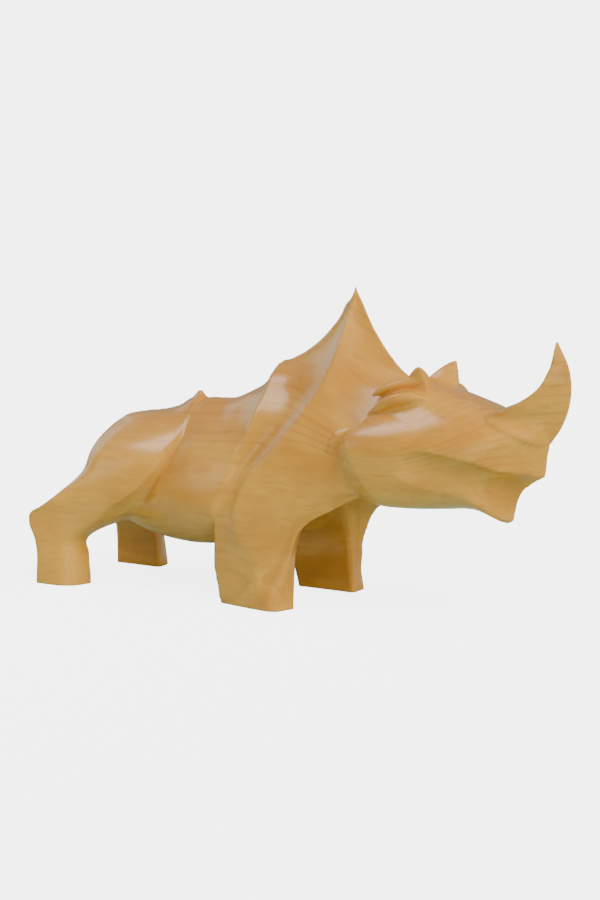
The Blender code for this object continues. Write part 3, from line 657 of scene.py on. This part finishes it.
def studio_light(stage):
    """Surround that is brighter on the key's side, a broad key, and soft boxes that show in the lacquer."""
    world = bpy.data.worlds.new("Studio")
    bpy.context.scene.world = world
    world.use_nodes = True
    tree = world.node_tree
    sky = tree.nodes["Background"]
    sky.inputs["Color"].default_value = opaque(stage.surround)
    ahead = add(tree, "ShaderNodeVectorMath", operation="DOT_PRODUCT")
    ahead.inputs[1].default_value = around((0, 0, 0), KEY_AZIMUTH, KEY_ELEVATION, 1)
    tree.links.new(add(tree, "ShaderNodeTexCoord").outputs["Generated"], ahead.inputs[0])
    light = ramp(tree, ahead.outputs["Value"], (-0.7, stage.surround_behind), (0.8, stage.surround_ahead))
    # It shows brighter in the lacquer, and seen directly it is as pale as the floor.
    path = add(tree, "ShaderNodeLightPath")
    mirrored = maths(tree, "MULTIPLY", path.outputs["Is Glossy Ray"], stage.surround_mirrored)
    seen = add(tree, "ShaderNodeMix", data_type="FLOAT")
    tree.links.new(path.outputs["Is Camera Ray"], seen.inputs[0])
    tree.links.new(maths(tree, "ADD", light, mirrored), seen.inputs[2])
    seen.inputs[3].default_value = stage.backdrop
    tree.links.new(seen.outputs[0], sky.inputs["Strength"])
    key = bpy.data.lights.new("Key", "SUN")
    key.angle = math.radians(stage.key_softness)
    key.energy, key.color = stage.key_strength, KEY_COLOUR
    holder = bpy.data.objects.new("Key", key)
    holder.location = around(LOOKED_AT, KEY_AZIMUTH, KEY_ELEVATION, 2.0)
    holder.rotation_euler = (Vector(LOOKED_AT) - holder.location).to_track_quat("-Z", "Y").to_euler()
    holder.visible_glossy = False
    bpy.context.scene.collection.objects.link(holder)
    for name, azimuth, elevation, distance, size, brightness, colour in SOFT_BOXES:
        power = brightness * math.pi * size[0] * size[1] * stage.box_strength
        soft_light(name, around(LOOKED_AT, azimuth, elevation, distance), LOOKED_AT, size, power, colour)


def photographers_camera(stage):
    """Long lens at the photograph's viewing angle."""
    lens = bpy.data.cameras.new("Camera")
    lens.sensor_fit = "VERTICAL"
    lens.sensor_height = SENSOR
    lens.lens = SENSOR * stage.camera_distance / stage.view_height
    lens.clip_end = 50
    camera = bpy.data.objects.new("Camera", lens)
    camera.location = around(LOOKED_AT, CAMERA_AZIMUTH, CAMERA_ELEVATION, stage.camera_distance)
    camera.rotation_euler = (Vector(LOOKED_AT) - camera.location).to_track_quat("-Z", "Y").to_euler()
    bpy.context.scene.collection.objects.link(camera)
    bpy.context.scene.camera = camera
    return camera


# Add-on

class FigurineSettings(bpy.types.PropertyGroup):
    grid: FloatProperty(name="Grid", description="Spacing of the grid that the carving is cut on",
                        default=0.0017, min=0.001, max=0.01, unit="LENGTH", precision=4)
    ring_spacing: FloatProperty(name="Ring spacing", description="Distance between growth rings",
                                default=0.0075, unit="LENGTH", precision=4)
    ring_wander: FloatProperty(name="Ring wander", description="How far the growth rings bend", default=0.022,
                               unit="LENGTH", precision=4)
    pale: FloatVectorProperty(name="Pale wood", description="Early wood in the palest part of the block",
                              default=(0.74, 0.355, 0.046), subtype="COLOR", min=0, max=1)
    deep: FloatVectorProperty(name="Honey wood", description="Early wood in the darker part of the block",
                              default=(0.62, 0.258, 0.024), subtype="COLOR", min=0, max=1)
    late_wood: FloatVectorProperty(name="Late wood", description="Thin line that ends each ring",
                                   default=(0.40, 0.13, 0.012), subtype="COLOR", min=0, max=1)
    rose: FloatVectorProperty(name="Fibres", description="Fine fibres along the grain",
                              default=(0.52, 0.20, 0.022), subtype="COLOR", min=0, max=1)
    lacquer: FloatProperty(name="Lacquer", description="Weight of the clear coat", default=1.0, min=0, max=1)


class StageSettings(bpy.types.PropertyGroup):
    floor_width: FloatProperty(name="Floor width", description="Side of the square floor", default=60.0,
                               unit="LENGTH")
    floor_colour: FloatVectorProperty(name="Floor colour", description="Colour of the floor",
                                      default=(0.88, 0.88, 0.87), subtype="COLOR", min=0, max=1)
    floor_bounce: FloatVectorProperty(name="Floor bounce", description="Colour of the light off the floor",
                                      default=(0.54, 0.74, 0.56), subtype="COLOR", min=0, max=1)
    floor_glow: FloatProperty(name="Floor glow", description="Light that comes through the floor",
                              default=5.0, min=0)
    surround: FloatVectorProperty(name="Surround", description="Colour of the light from all round",
                                  default=(0.95, 1.0, 0.94), subtype="COLOR", min=0, max=1)
    surround_ahead: FloatProperty(name="Surround ahead",
                                  description="Brightness of the surround on the lit side", default=0.32,
                                  min=0)
    surround_behind: FloatProperty(name="Surround behind",
                                   description="Brightness of the surround on the far side", default=0.10,
                                   min=0)
    surround_mirrored: FloatProperty(name="Surround mirrored",
                                     description="Extra brightness seen in the lacquer", default=0.24,
                                     min=0)
    backdrop: FloatProperty(name="Backdrop",
                            description="Brightness of the surround where it is seen directly", default=5.3,
                            min=0)
    key_strength: FloatProperty(name="Key strength", description="Strength of the broad key light",
                                default=3.7, min=0)
    key_softness: FloatProperty(name="Key softness", description="Width of the key light in degrees",
                                default=60.0, min=1, max=90)
    box_strength: FloatProperty(name="Soft boxes", description="Strength of the soft boxes", default=1.0,
                                min=0)
    camera_distance: FloatProperty(name="Camera distance",
                                   description="From the camera to the middle of the view", default=2.3,
                                   unit="LENGTH")
    view_height: FloatProperty(name="View height", description="Height of the view at the figure",
                               default=0.675, unit="LENGTH")


class FIGURINE_OT_carve(bpy.types.Operator):
    """Carve the rhinoceros and give it its finish"""
    bl_idname = "figurine.carve"
    bl_label = "Carve the rhinoceros"

    def execute(self, context):
        carved_figure(context.scene.figurine)
        return {"FINISHED"}


class FIGURINE_OT_stage(bpy.types.Operator):
    """Set the pale floor, the soft light and the camera"""
    bl_idname = "figurine.stage"
    bl_label = "Set the stage"

    def execute(self, context):
        stage = context.scene.figurine_stage
        studio_floor(stage)
        studio_light(stage)
        photographers_camera(stage)
        return {"FINISHED"}


class FIGURINE_PT_panel(bpy.types.Panel):
    """Sizes and colours of the figurine and its stage"""
    bl_idname = "FIGURINE_PT_panel"
    bl_label = "Rhinoceros figurine"
    bl_space_type = "VIEW_3D"
    bl_region_type = "UI"
    bl_category = "Figurine"

    def draw(self, context):
        for title, settings, operator in (("Carving", context.scene.figurine, "figurine.carve"),
                                          ("Stage", context.scene.figurine_stage, "figurine.stage")):
            box = self.layout.box()
            box.label(text=title)
            for name in settings.__annotations__:
                box.prop(settings, name)
            box.operator(operator)


CLASSES = (FigurineSettings, StageSettings, FIGURINE_OT_carve, FIGURINE_OT_stage, FIGURINE_PT_panel)


def register():
    for cls in CLASSES:
        bpy.utils.register_class(cls)
    bpy.types.Scene.figurine = PointerProperty(type=FigurineSettings)
    bpy.types.Scene.figurine_stage = PointerProperty(type=StageSettings)


def unregister():
    del bpy.types.Scene.figurine_stage
    del bpy.types.Scene.figurine
    for cls in reversed(CLASSES):
        bpy.utils.unregister_class(cls)


def main():
    register()
    bpy.ops.figurine.carve()
    bpy.ops.figurine.stage()


if __name__ == "__main__":
    main()
